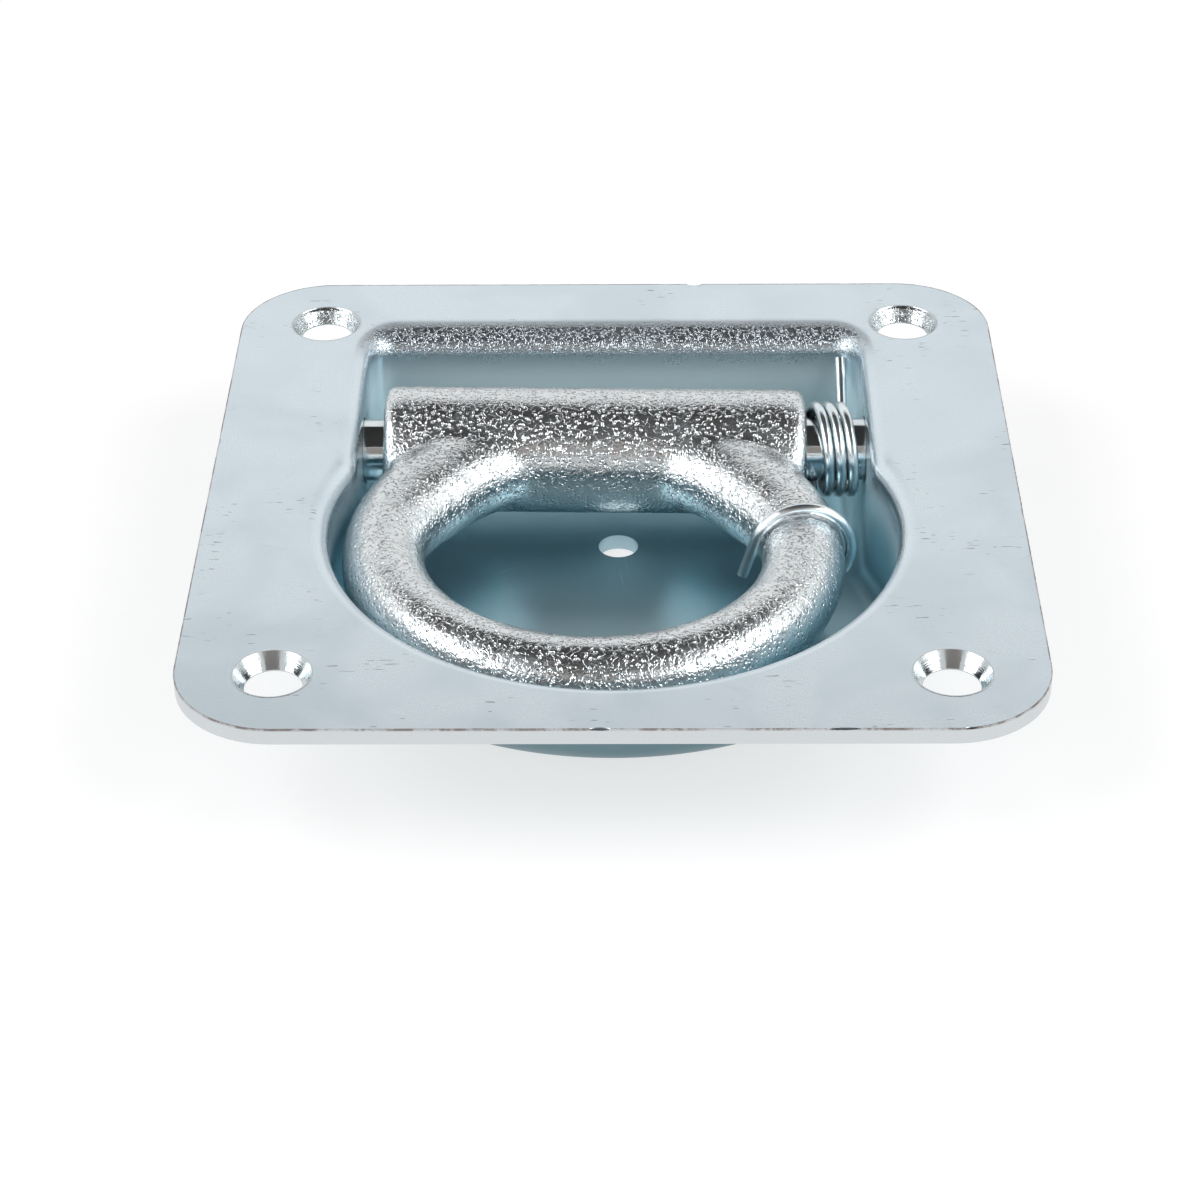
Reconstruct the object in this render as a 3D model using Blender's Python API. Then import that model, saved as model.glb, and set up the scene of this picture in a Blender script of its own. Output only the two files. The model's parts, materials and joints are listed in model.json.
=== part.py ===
# Recessed D-ring tie down: a pressed pan with a flange, a forged ring on a cross pin, and a torsion spring.
# Units are metres. +Z is up out of the floor that the pan is sunk in, and -Y is the side the ring points to.
# The origin lies under the middle of the flange, at the lowest level of the pan.

import math

import bmesh
import bpy
from mathutils import Matrix, Vector

# Forged ring with its barrel
RING_EYE = 0.0502
RING_BAR = 0.0123
RING_REACH = 0.0299
BARREL_WALL = 0.0048
BARREL_STEP = 0.00475
ROOT_SWELL = 0.0013
ROOT_ANGLE = math.radians(36.0)
FORGING_GRAIN = 0.0018
FORGING_SMOOTHING = 6
FORGING_SHRINK = 0.0002

# Cross pin
PIN_DIAMETER = 0.0098
PIN_DROP = 0.0090
PIN_HEAD_LENGTH = 0.0020
PIN_HEAD_LIP = 0.0007

# Torsion spring
WIRE = 0.0017
COIL_PITCH = 0.00186
COIL_WRAPS = 3
COIL_SLANT = 0.0017
REAR_LEG_SLOPE = math.radians(35.0)
REAR_LEG_LEAN = 0.0002
HOOK_OFFSET = 0.0023
HOOK_BEND = 0.0030
HOOK_START = math.radians(-25.0)
HOOK_END = math.radians(165.0)
HOOK_TAIL = 0.0062

# Running and seating clearances
BORE_CLEARANCE = 0.0003
PIN_HOLE_CLEARANCE = 0.0003
PIN_HEAD_GAP = 0.0003
SPRING_GAP = 0.0003
COIL_CLEARANCE = 0.0009
COIL_GAP = 0.0014
COIL_END_GAP = 0.0007
BARREL_END_PLAY = 0.00335
BARREL_FLOOR_GAP = 0.0033
RING_SIDE_GAP = 0.0015
FINGER_ROOM = 0.0023
SWING_ROOM = 0.0108

# Sheet of the pan, with its flange
SHEET = 0.0025
SIDE_FLANGE = 0.0153
FRONT_FLANGE = 0.0079
REAR_FLANGE = 0.0123
PLATE_CORNER = 0.0143

# Bends and plan radii of the pan
RIM_RADIUS = 0.0028
RIM_RADIUS_REAR = 0.0042
FLOOR_RADIUS = 0.0032
FLOOR_RADIUS_FRONT = 0.0140
FRONT_SLOPE = math.radians(33.0)
HINGE_BAY_CORNER = 0.0044
BOWL_BLEND = 0.0120

# Holes in the flange and in the floor
SCREW_HOLE = 0.0080
COUNTERSINK_DEPTH = 0.0014
SCREW_INSET_X = 0.0136
SCREW_INSET_Y = 0.0128
DRAIN_HOLE = 0.0062
DRAIN_HOLE_X = 0.0006
DRAIN_HOLE_AHEAD = 0.0077

# Fineness of the round forms
BOWL_STEPS = 44
BLEND_STEPS = 4
CORNER_STEPS = 6
SIDE_STEPS = 4
REAR_STEPS = 8
RIM_STEPS = 4
FLOOR_STEPS = 4
EYE_STEPS = 64
BAR_STEPS = 20
COIL_STEPS = 20
HOOK_STEPS = 14
BEND_STEPS = 6
CROWN_STEPS = 4
HOLE_STEPS = 32
BARREL_STEPS = 48

# Sizes that follow from the ones above: what turns on the pin
RING_RADIUS = (RING_EYE + RING_BAR) / 2
RING_OUTSIDE = RING_RADIUS + RING_BAR / 2
BARREL_DIAMETER = PIN_DIAMETER + 2 * BARREL_WALL
BARREL_LENGTH = 2 * (RING_OUTSIDE - BARREL_STEP)
COIL_RADIUS = PIN_DIAMETER / 2 + COIL_CLEARANCE + WIRE / 2
COIL_ROOM = COIL_GAP + WIRE + COIL_PITCH * COIL_WRAPS + COIL_END_GAP
BARREL_OFFSET = (BARREL_END_PLAY - COIL_ROOM) / 2

# The pan is drawn round them
HINGE_BAY_WIDTH = BARREL_END_PLAY + BARREL_LENGTH + COIL_ROOM
WALL_X = HINGE_BAY_WIDTH / 2
PAN_DEPTH = PIN_DROP + BARREL_DIAMETER / 2 + BARREL_FLOOR_GAP
BOWL_RADIUS = RING_OUTSIDE + RING_SIDE_GAP - BARREL_OFFSET
REACH_FORWARD = RING_REACH + FINGER_ROOM + BOWL_RADIUS + RIM_RADIUS + FRONT_FLANGE
REACH_BACK = BARREL_DIAMETER / 2 + SWING_ROOM + RIM_RADIUS_REAR + REAR_FLANGE
PLATE_DEPTH = REACH_FORWARD + REACH_BACK
PLATE_WIDTH = 2 * (BOWL_RADIUS + RIM_RADIUS + SIDE_FLANGE)
PLATE_TOP = PAN_DEPTH + SHEET

# Places in the plate's frame
PIN_Y = PLATE_DEPTH / 2 - REACH_BACK
PIN_Z = PLATE_TOP - PIN_DROP
PIN_AXIS = Vector((0.0, PIN_Y, PIN_Z))
BOWL_CENTRE_Y = PIN_Y - RING_REACH - FINGER_ROOM
HINGE_BAY_REAR = PIN_Y + BARREL_DIAMETER / 2 + SWING_ROOM
PIN_HOLE = PIN_DIAMETER + 2 * PIN_HOLE_CLEARANCE
PIN_HEAD = PIN_HOLE + 2 * PIN_HEAD_LIP
SCREW_X = PLATE_WIDTH / 2 - SCREW_INSET_X
SCREW_Y = PLATE_DEPTH / 2 - SCREW_INSET_Y


def clear_scene():
    for item in list(bpy.data.objects):
        bpy.data.objects.remove(item, do_unlink=True)


def make_material(name, colour, roughness):
    material = bpy.data.materials.new(name)
    material.use_nodes = True
    shader = material.node_tree.nodes["Principled BSDF"]
    shader.inputs["Base Color"].default_value = (*colour, 1.0)
    shader.inputs["Roughness"].default_value = roughness
    shader.inputs["Metallic"].default_value = 1.0
    return material


def add_object(name, mesh, material=None):
    item = bpy.data.objects.new(name, mesh)
    bpy.context.collection.objects.link(item)
    if material:
        mesh.materials.append(material)
    return item


def mesh_from(name, bm):
    bmesh.ops.recalc_face_normals(bm, faces=bm.faces)
    mesh = bpy.data.meshes.new(name)
    bm.to_mesh(mesh)
    bm.free()
    return mesh


def hide_cutter(item):
    item.hide_render = True
    item.display_type = "WIRE"


def smooth_round(item, angle=math.radians(35.0)):
    item.data.shade_smooth()
    item.data.set_sharp_from_angle(angle=angle)


def arc(centre, radius, start, end, steps):
    """Points on an arc, with the direction that leads outwards from its centre."""
    for step in range(steps + 1):
        angle = start + (end - start) * step / steps
        direction = Vector((math.cos(angle), math.sin(angle)))
        yield centre + radius * direction, direction


def right_half_of_wall_plan():
    """Wall line of the pan from the front middle to the rear middle, with outward normals."""
    bowl = Vector((0.0, BOWL_CENTRE_Y))
    blend_x = WALL_X + BOWL_BLEND
    reach = BOWL_RADIUS + BOWL_BLEND
    blend = bowl + Vector((blend_x, math.sqrt(reach ** 2 - blend_x ** 2)))
    meet = math.atan2(blend.y - bowl.y, blend.x - bowl.x)
    points = list(arc(bowl, BOWL_RADIUS, -math.pi / 2, meet, BOWL_STEPS // 2))
    inward = arc(blend, BOWL_BLEND, math.pi + meet, math.pi, BLEND_STEPS)
    points += [(point, -direction) for point, direction in inward][1:]
    corner = Vector((WALL_X - HINGE_BAY_CORNER, HINGE_BAY_REAR - HINGE_BAY_CORNER))
    for step in range(1, SIDE_STEPS):
        share = step / SIDE_STEPS
        points.append((Vector((WALL_X, blend.y + (corner.y - blend.y) * share)), Vector((1.0, 0.0))))
    points += list(arc(corner, HINGE_BAY_CORNER, 0.0, math.pi / 2, CORNER_STEPS))
    half_rear = REAR_STEPS // 2
    for step in range(1, half_rear + 1):
        share = step / half_rear
        points.append((Vector((corner.x * (1 - share), HINGE_BAY_REAR)), Vector((0.0, 1.0))))
    return points


def wall_plan():
    """The whole wall line: the right half and its mirror image, as one closed loop."""
    right = right_half_of_wall_plan()
    left = [(Vector((-p.x, p.y)), Vector((-n.x, n.y))) for p, n in reversed(right[1:-1])]
    return right + left


def wall_section(normal):
    """Steps of the pan's section from the flange to the floor, as distances outwards and heights."""
    facing_rear = max(0.0, normal.y) ** 2
    facing_front = max(0.0, -normal.y)
    rim = RIM_RADIUS + (RIM_RADIUS_REAR - RIM_RADIUS) * facing_rear
    foot = FLOOR_RADIUS + (FLOOR_RADIUS_FRONT - FLOOR_RADIUS) * facing_front
    slope = math.atan(math.tan(FRONT_SLOPE) * facing_front)
    section = []
    for step in range(RIM_STEPS + 1):
        angle = (math.pi / 2 - slope) * step / RIM_STEPS
        section.append((rim - rim * math.sin(angle), PLATE_TOP - rim * (1 - math.cos(angle))))
    outer, height = section[-1]
    fall = height - SHEET - foot * (1 - math.sin(slope))
    outer -= fall * math.tan(slope)
    height -= fall
    centre = outer - foot * math.cos(slope)
    for step in range(FLOOR_STEPS + 1):
        angle = slope + (math.pi / 2 - slope) * step / FLOOR_STEPS
        section.append((centre + foot * math.cos(angle), SHEET + foot * (1 - math.sin(angle))))
    return section


def rounded_rectangle(width, depth, radius, steps):
    """Corner arcs of a rounded rectangle, counter-clockwise."""
    points = []
    for quarter, (side_x, side_y) in enumerate(((1, 1), (-1, 1), (-1, -1), (1, -1))):
        centre = Vector((side_x * (width / 2 - radius), side_y * (depth / 2 - radius)))
        start = quarter * math.pi / 2
        points += [point for point, _ in arc(centre, radius, start, start + math.pi / 2, steps)]
    return points


def loop_edges(bm, verts):
    return [bm.edges.new((a, b)) for a, b in zip(verts, verts[1:] + verts[:1])]


def pan_sheet():
    """Upper face of the pressing: flange, rolled rim, wall and floor."""
    bm = bmesh.new()
    plan = wall_plan()
    sections = [wall_section(normal) for _, normal in plan]
    rings = []
    for level in range(len(sections[0])):
        ring = []
        for (point, normal), section in zip(plan, sections):
            outwards, height = section[level]
            place = point + normal * outwards
            ring.append(bm.verts.new((place.x, place.y, height)))
        rings.append(ring)
    for upper, lower in zip(rings, rings[1:]):
        for index, vertex in enumerate(upper):
            after = (index + 1) % len(upper)
            bm.faces.new((vertex, upper[after], lower[after], lower[index]))
    bm.faces.new(rings[-1])
    outline = [
        bm.verts.new((point.x, point.y, PLATE_TOP))
        for point in rounded_rectangle(PLATE_WIDTH, PLATE_DEPTH, PLATE_CORNER, CORNER_STEPS)
    ]
    border = loop_edges(bm, outline)
    border += [edge for edge in bm.edges if edge.is_boundary and edge not in border]
    bmesh.ops.triangle_fill(bm, edges=border, use_beauty=True)
    bmesh.ops.recalc_face_normals(bm, faces=bm.faces)
    flange = max(bm.faces, key=lambda face: face.calc_center_median().z)
    if flange.normal.z < 0:
        bmesh.ops.reverse_faces(bm, faces=bm.faces)
    mesh = bpy.data.meshes.new("base_plate")
    bm.to_mesh(mesh)
    bm.free()
    return mesh


def hidden_cylinder(name, radius, length, centre, axis, steps=HOLE_STEPS):
    bm = bmesh.new()
    bmesh.ops.create_cone(
        bm, cap_ends=True, segments=steps, radius1=radius, radius2=radius, depth=length
    )
    item = add_object(name, mesh_from(name, bm))
    item.location = centre
    item.rotation_euler = Vector(axis).to_track_quat("Z", "Y").to_euler()
    hide_cutter(item)
    return item


def screw_hole(name, x, y):
    """Through hole with a 90 degree seat for a countersunk screw."""
    hole = SCREW_HOLE / 2
    rim = hole + COUNTERSINK_DEPTH
    above = SHEET
    profile = [
        (0.0, PLATE_TOP - 2 * SHEET),
        (hole, PLATE_TOP - 2 * SHEET),
        (hole, PLATE_TOP - COUNTERSINK_DEPTH),
        (rim + above, PLATE_TOP + above),
        (0.0, PLATE_TOP + above),
    ]
    item = add_object(name, turned_mesh(name, profile, HOLE_STEPS))
    item.location = (x, y, 0.0)
    hide_cutter(item)
    return item


def turned_mesh(name, profile, steps):
    """A closed solid turned round Z from a profile of radii and heights that starts and ends on the axis."""
    bm = bmesh.new()
    verts = [bm.verts.new((radius, 0.0, height)) for radius, height in profile]
    edges = [bm.edges.new(pair) for pair in zip(verts, verts[1:])]
    bmesh.ops.spin(
        bm, geom=verts + edges, cent=(0, 0, 0), axis=(0, 0, 1), angle=2 * math.pi, steps=steps
    )
    bmesh.ops.remove_doubles(bm, verts=bm.verts, dist=0.00001)
    return mesh_from(name, bm)


def combine(item, other, operation="DIFFERENCE"):
    step = item.modifiers.new(other.name, "BOOLEAN")
    step.operation = operation
    step.object = other
    step.solver = "EXACT"


def build_base_plate():
    """One pressing: the flange, the pan and all the holes in them."""
    material = make_material("zinc_sheet", (0.62, 0.67, 0.70), 0.35)
    plate = add_object("base_plate", pan_sheet(), material)
    thickness = plate.modifiers.new("thickness", "SOLIDIFY")
    thickness.thickness = SHEET
    thickness.offset = -1.0
    thickness.use_even_offset = True
    for side_x in (-1, 1):
        for side_y in (-1, 1):
            name = f"screw_hole_{'left' if side_x < 0 else 'right'}_{'front' if side_y < 0 else 'rear'}"
            combine(plate, screw_hole(name, side_x * SCREW_X, side_y * SCREW_Y))
    for side, name in ((-1, "pin_hole_left"), (1, "pin_hole_right")):
        centre = (side * (WALL_X + SHEET / 2), PIN_Y, PIN_Z)
        combine(plate, hidden_cylinder(name, PIN_HOLE / 2, 3 * SHEET, centre, (1, 0, 0)))
    drain = (DRAIN_HOLE_X, PIN_Y - DRAIN_HOLE_AHEAD, SHEET / 2)
    combine(plate, hidden_cylinder("drain_hole", DRAIN_HOLE / 2, 3 * SHEET, drain, (0, 0, 1)))
    smooth_round(plate)
    return plate


def build_hinge_pin():
    """Plain pin through both walls, with its ends upset into low heads outside them."""
    material = make_material("zinc_pin", (0.70, 0.72, 0.73), 0.18)
    shank_end = WALL_X + SHEET + PIN_HEAD_GAP
    tip = shank_end + PIN_HEAD_LENGTH
    radius = PIN_DIAMETER / 2
    head = PIN_HEAD / 2
    crown = PIN_HEAD_LENGTH / 2
    flat = head - 2 * crown
    half = [(0.0, tip)]
    for _, d in arc(Vector((0, 0)), 1, math.pi / 2, 0.0, CROWN_STEPS):
        half.append((flat + 2 * crown * d.x, tip - crown + crown * d.y))
    half += [(head, shank_end), (radius, shank_end)]
    profile = half + [(r, -z) for r, z in reversed(half)]
    pin = add_object("hinge_pin", turned_mesh("hinge_pin", profile, HOLE_STEPS), material)
    pin.location = PIN_AXIS
    pin.rotation_euler = (0.0, math.pi / 2, 0.0)
    smooth_round(pin)
    return pin


def bar_swell(angle):
    """How much the bar thickens on its way into the barrel, from none at the sides of the eye."""
    from_side = math.asin(max(0.0, math.sin(angle)))
    share = min(1.0, from_side / ROOT_ANGLE)
    return ROOT_SWELL * share * share * (3 - 2 * share)


def eye_mesh(name, radius, bar):
    """The ring's round bar: its outer side is a true circle, and it swells inwards where the barrel is."""
    bm = bmesh.new()
    loops = []
    for _, around in list(arc(Vector((0, 0)), 1, 0.0, 2 * math.pi, EYE_STEPS))[:-1]:
        swell = bar_swell(math.atan2(around.y, around.x))
        loop = []
        for _, d in list(arc(Vector((0, 0)), 1, 0.0, 2 * math.pi, BAR_STEPS))[:-1]:
            out = radius - swell + (bar + swell) * d.x
            loop.append(bm.verts.new((out * around.x, out * around.y, (bar + swell / 2) * d.y)))
        loops.append(loop)
    for loop, after in zip(loops, loops[1:] + loops[:1]):
        for a, b, c, d in zip(loop, after, after[1:] + after[:1], loop[1:] + loop[:1]):
            bm.faces.new((a, b, c, d))
    return mesh_from(name, bm)


def build_lashing_ring():
    """One forging: the eye's bar runs into a barrel, and the joints between them are rounded by the die."""
    material = make_material("zinc_forging", (0.72, 0.75, 0.76), 0.28)
    bar = RING_BAR / 2 + FORGING_SHRINK
    ring = add_object("lashing_ring", eye_mesh("lashing_ring", RING_RADIUS, bar), material)
    ring.data.transform(Matrix.Translation((BARREL_OFFSET, -RING_REACH, 0.0)))
    ring.location = PIN_AXIS
    barrel = hidden_cylinder(
        "barrel_form",
        BARREL_DIAMETER / 2 + FORGING_SHRINK,
        BARREL_LENGTH + 2 * FORGING_SHRINK,
        PIN_AXIS + Vector((BARREL_OFFSET, 0, 0)),
        (1, 0, 0),
        BARREL_STEPS,
    )
    combine(ring, barrel, "UNION")
    blend = ring.modifiers.new("forging", "REMESH")
    blend.mode = "VOXEL"
    blend.voxel_size = FORGING_GRAIN
    blend.use_smooth_shade = True
    soften = ring.modifiers.new("die_radii", "SMOOTH")
    soften.factor = 0.5
    soften.iterations = FORGING_SMOOTHING
    bore = PIN_DIAMETER / 2 + BORE_CLEARANCE
    combine(ring, hidden_cylinder("bore", bore, 2 * BARREL_LENGTH, PIN_AXIS, (1, 0, 0), BARREL_STEPS))
    return ring


def coil_point(turns, start_x):
    """A point on the coil: at 0 turns it is under the pin, and it climbs the rear side first."""
    angle = 2 * math.pi * turns
    along = start_x + COIL_PITCH * turns - COIL_SLANT * (1 + math.sin(angle)) / 2
    return PIN_AXIS + Vector((along, COIL_RADIUS * math.sin(angle), -COIL_RADIUS * math.cos(angle)))


def bezier(start, start_pull, end_pull, end, steps):
    """Points of a cubic curve after its first one."""
    for step in range(1, steps + 1):
        t = step / steps
        a, b, c, d = (1 - t) ** 3, 3 * t * (1 - t) ** 2, 3 * t * t * (1 - t), t ** 3
        yield a * start + b * start_pull + c * end_pull + d * end


def front_leg(start, reach):
    """From the coil, under the ring's bar, round its outer side and over it, to a short straight tail."""
    eye = PIN_AXIS + Vector((BARREL_OFFSET, -RING_REACH, 0.0))
    out = Vector((math.sqrt(RING_RADIUS ** 2 - HOOK_OFFSET ** 2), HOOK_OFFSET, 0.0)) / RING_RADIUS
    bar = eye + RING_RADIUS * out
    loop = RING_BAR / 2 + reach
    up = Vector((0.0, 0.0, 1.0))
    over = [
        bar + loop * (d.x * out + d.y * up)
        for _, d in arc(Vector((0, 0)), 1, HOOK_START, HOOK_END, HOOK_STEPS)
    ]
    rising = math.cos(HOOK_START) * up - math.sin(HOOK_START) * out
    falling = math.cos(HOOK_END) * up - math.sin(HOOK_END) * out
    turn = Vector((start.x, over[0].y + HOOK_BEND, PIN_Z - loop))
    forwards = Vector((0.0, -HOOK_BEND, 0.0))
    points = [turn]
    points += bezier(turn, turn + forwards, over[0] - HOOK_BEND * rising, over[0], BEND_STEPS)
    points += over[1:]
    points.append(points[-1] + HOOK_TAIL * falling)
    return points


def rear_wall_at(x):
    """Where the face of the rear wall lies, also in the corner where it turns to the side wall."""
    into_corner = max(0.0, x - (WALL_X - HINGE_BAY_CORNER))
    return HINGE_BAY_REAR - HINGE_BAY_CORNER + math.sqrt(HINGE_BAY_CORNER ** 2 - into_corner ** 2)


def rear_leg(start):
    """Straight from the coil up to the rear wall, which it leans on just under the rim."""
    touch = rear_wall_at(start.x - REAR_LEG_LEAN + WIRE / 2)
    run = touch - SPRING_GAP - WIRE / 2 * math.sin(REAR_LEG_SLOPE) - start.y
    return [start + Vector((-REAR_LEG_LEAN, run, run * math.tan(REAR_LEG_SLOPE)))]


def build_torsion_spring():
    """Coil round the pin, a leg against the rear wall, and a leg that hooks over the ring's bar."""
    material = make_material("spring_wire", (0.74, 0.75, 0.76), 0.16)
    turns = COIL_WRAPS + REAR_LEG_SLOPE / (2 * math.pi)
    start_x = BARREL_OFFSET + BARREL_LENGTH / 2 + COIL_GAP + WIRE / 2
    steps = round(turns * COIL_STEPS)
    coil = [coil_point(turns * step / steps, start_x) for step in range(steps + 1)]
    front = front_leg(coil[0], WIRE / 2 + SPRING_GAP)
    points = list(reversed(front)) + coil + rear_leg(coil[-1])
    curve = bpy.data.curves.new("torsion_spring", "CURVE")
    curve.dimensions = "3D"
    curve.bevel_depth = WIRE / 2
    curve.bevel_resolution = 2
    curve.use_fill_caps = True
    line = curve.splines.new("POLY")
    line.points.add(len(points) - 1)
    for knot, point in zip(line.points, points):
        knot.co = (*(point - PIN_AXIS), 1.0)
    curve.materials.append(material)
    spring = bpy.data.objects.new("torsion_spring", curve)
    bpy.context.collection.objects.link(spring)
    spring.location = PIN_AXIS
    return spring


def main():
    clear_scene()
    build_base_plate()
    build_hinge_pin()
    build_lashing_ring()
    build_torsion_spring()


main()
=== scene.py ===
# %% [markdown]
# # A recessed tie down for lashing loads
# A pressed steel pan is let into a floor. A forged ring on a cross pin folds down into it,
# and a torsion spring holds the ring flat, so that it doesn't rattle on the road.
# The frame gives the true place of each piece. Here each piece gets its fine shape and its finish.

# %% Load the frame
import json
import math

import bmesh
import bpy
from mathutils import Matrix, Vector
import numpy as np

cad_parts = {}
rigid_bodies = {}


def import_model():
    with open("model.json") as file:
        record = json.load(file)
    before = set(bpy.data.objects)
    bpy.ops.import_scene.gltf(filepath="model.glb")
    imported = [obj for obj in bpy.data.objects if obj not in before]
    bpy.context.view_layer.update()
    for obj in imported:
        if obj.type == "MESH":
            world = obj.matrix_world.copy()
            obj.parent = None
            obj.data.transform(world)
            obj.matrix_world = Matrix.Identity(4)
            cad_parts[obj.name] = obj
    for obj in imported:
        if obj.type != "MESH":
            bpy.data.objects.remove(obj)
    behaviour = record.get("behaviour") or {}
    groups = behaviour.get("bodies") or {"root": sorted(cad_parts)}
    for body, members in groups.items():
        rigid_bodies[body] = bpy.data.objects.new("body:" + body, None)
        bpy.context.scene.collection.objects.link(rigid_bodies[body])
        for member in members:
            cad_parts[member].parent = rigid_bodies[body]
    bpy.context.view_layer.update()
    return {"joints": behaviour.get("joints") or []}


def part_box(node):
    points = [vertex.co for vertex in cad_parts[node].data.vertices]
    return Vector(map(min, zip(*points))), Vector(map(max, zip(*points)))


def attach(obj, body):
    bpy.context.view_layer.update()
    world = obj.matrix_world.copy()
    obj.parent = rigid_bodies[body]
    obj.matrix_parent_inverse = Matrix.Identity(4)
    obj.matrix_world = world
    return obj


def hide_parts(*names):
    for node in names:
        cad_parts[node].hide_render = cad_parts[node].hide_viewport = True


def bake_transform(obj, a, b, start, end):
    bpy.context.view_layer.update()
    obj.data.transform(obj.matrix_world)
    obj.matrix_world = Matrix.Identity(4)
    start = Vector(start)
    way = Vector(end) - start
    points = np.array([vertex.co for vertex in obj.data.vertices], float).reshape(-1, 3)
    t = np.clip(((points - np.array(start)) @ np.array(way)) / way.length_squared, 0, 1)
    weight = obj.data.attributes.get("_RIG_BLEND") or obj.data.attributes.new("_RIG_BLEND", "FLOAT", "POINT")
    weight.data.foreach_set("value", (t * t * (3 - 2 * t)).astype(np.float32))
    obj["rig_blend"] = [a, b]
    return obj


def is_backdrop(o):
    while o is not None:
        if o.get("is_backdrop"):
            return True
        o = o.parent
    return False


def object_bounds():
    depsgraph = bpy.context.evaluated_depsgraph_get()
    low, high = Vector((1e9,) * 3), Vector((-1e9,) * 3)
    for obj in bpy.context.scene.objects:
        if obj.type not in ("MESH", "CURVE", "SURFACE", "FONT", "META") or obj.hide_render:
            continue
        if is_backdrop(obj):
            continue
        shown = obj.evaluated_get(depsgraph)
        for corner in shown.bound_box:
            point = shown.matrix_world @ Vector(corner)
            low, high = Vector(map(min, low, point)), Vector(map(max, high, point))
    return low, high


for item in list(bpy.data.objects):
    bpy.data.objects.remove(item, do_unlink=True)
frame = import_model()

# %% [markdown]
# ## Helpers for modelling by operators
# An operator works on whatever is selected, so every piece starts from an empty selection.
# Points are picked in code by a test on their place, and finished pieces keep their place in their mesh.

# %% Helpers
MM = 0.001


def deselect():
    if bpy.context.object and bpy.context.object.mode != "OBJECT":
        bpy.ops.object.mode_set(mode="OBJECT")
    bpy.ops.object.select_all(action="DESELECT")


def start_piece(name):
    """Names the primitive that was just added, and puts its place into its mesh."""
    piece = bpy.context.object
    piece.name = name
    piece.data.name = name
    bpy.ops.object.transform_apply(location=True, rotation=True, scale=True)
    return piece


def make_active(piece):
    deselect()
    piece.select_set(True)
    bpy.context.view_layer.objects.active = piece


def edit(piece):
    make_active(piece)
    bpy.ops.object.mode_set(mode="EDIT")
    return bmesh.from_edit_mesh(piece.data)


def pick(piece, test, kind="verts"):
    """In edit mode, selects only the points, edges or faces that pass the test."""
    mesh = bmesh.from_edit_mesh(piece.data)
    bpy.ops.mesh.select_all(action="DESELECT")
    found = [item for item in getattr(mesh, kind) if test(item)]
    for item in found:
        item.select_set(True)
    mesh.select_flush(True)
    bmesh.update_edit_mesh(piece.data)
    return found


def apply_modifier(piece, kind, name, **settings):
    make_active(piece)
    step = piece.modifiers.new(name, kind)
    for key, value in settings.items():
        setattr(step, key, value)
    bpy.ops.object.modifier_apply(modifier=name)


def combine(piece, other, operation):
    """Adds or cuts away another solid, which is then removed."""
    apply_modifier(piece, "BOOLEAN", operation.lower(), operation=operation, object=other, solver="EXACT")
    bpy.data.objects.remove(other, do_unlink=True)


def smooth(piece, degrees=35):
    make_active(piece)
    bpy.ops.object.shade_smooth_by_angle(angle=math.radians(degrees))


def report(piece):
    piece.data.calc_loop_triangles()
    print(piece.name, "has", len(piece.data.loop_triangles), "triangles")


# %% [markdown]
# ## Sizes
# The plate's outline and top and the pin's axis are read from the frame. The wall line's radii and the
# other sizes of the pan are given here once, as the press tool would have them. Pieces that touch on
# the real fitting keep a small gap here, as the solids do.

# %% Sizes
_, plate_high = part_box("base_plate")
PIN = Vector(frame["joints"][0]["pos_m"])
TOP = plate_high.z
SHEET = 2.5 * MM
WALL_X = 39.0 * MM
BAY_REAR = 44.4 * MM
BAY_CORNER = 4.4 * MM
BOWL_RADIUS = 41.9 * MM
BOWL_Y = -8.3 * MM
BLEND_RADIUS = 12.0 * MM
FRONT_SLOPE = math.radians(33)
PIN_HOLE = 5.2 * MM
GAP = 0.3 * MM
print("pin axis in mm:", [round(1000 * place, 1) for place in PIN], "plate top:", round(1000 * TOP, 1))

# %% [markdown]
# ## The pan's wall line
# Seen from above, the pan is a round bowl that runs into a rectangular bay for the hinge.
# The line is drawn the way a draughtsman would: one point is spun round the bowl's centre,
# then round the centre of the hollow blend, run straight back, and spun round the rear corner.
# The other half is its mirror image.

# %% Draw the wall line
def start_point(name, place):
    """A single point to draw from: a small plane merged to its middle."""
    deselect()
    bpy.ops.mesh.primitive_plane_add(size=MM, location=place)
    piece = start_piece(name)
    edit(piece)
    bpy.ops.mesh.select_all(action="SELECT")
    bpy.ops.mesh.merge(type="CENTER")
    return piece


def spin_point(centre, degrees, steps):
    """Draws an arc from the selected end point, anticlockwise as seen from above."""
    bpy.ops.mesh.spin(
        steps=steps, angle=math.radians(-degrees), center=(centre.x, centre.y, TOP), axis=(0, 0, 1)
    )


def run_to(piece, x, y, steps):
    """Draws a straight line of short edges from the selected end point."""
    mesh = bmesh.from_edit_mesh(piece.data)
    last = next(point for point in mesh.verts if point.select)
    step = (Vector((x, y, TOP)) - last.co) / steps
    for _ in range(steps):
        bpy.ops.mesh.extrude_region_move(TRANSFORM_OT_translate={"value": step})


bowl = Vector((0, BOWL_Y))
blend_x = WALL_X + BLEND_RADIUS
blend_rise = math.sqrt((BOWL_RADIUS + BLEND_RADIUS) ** 2 - blend_x ** 2)
blend = Vector((blend_x, BOWL_Y + blend_rise))
meet = math.degrees(math.atan2(blend_rise, blend_x))
corner = Vector((WALL_X - BAY_CORNER, BAY_REAR - BAY_CORNER))

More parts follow.
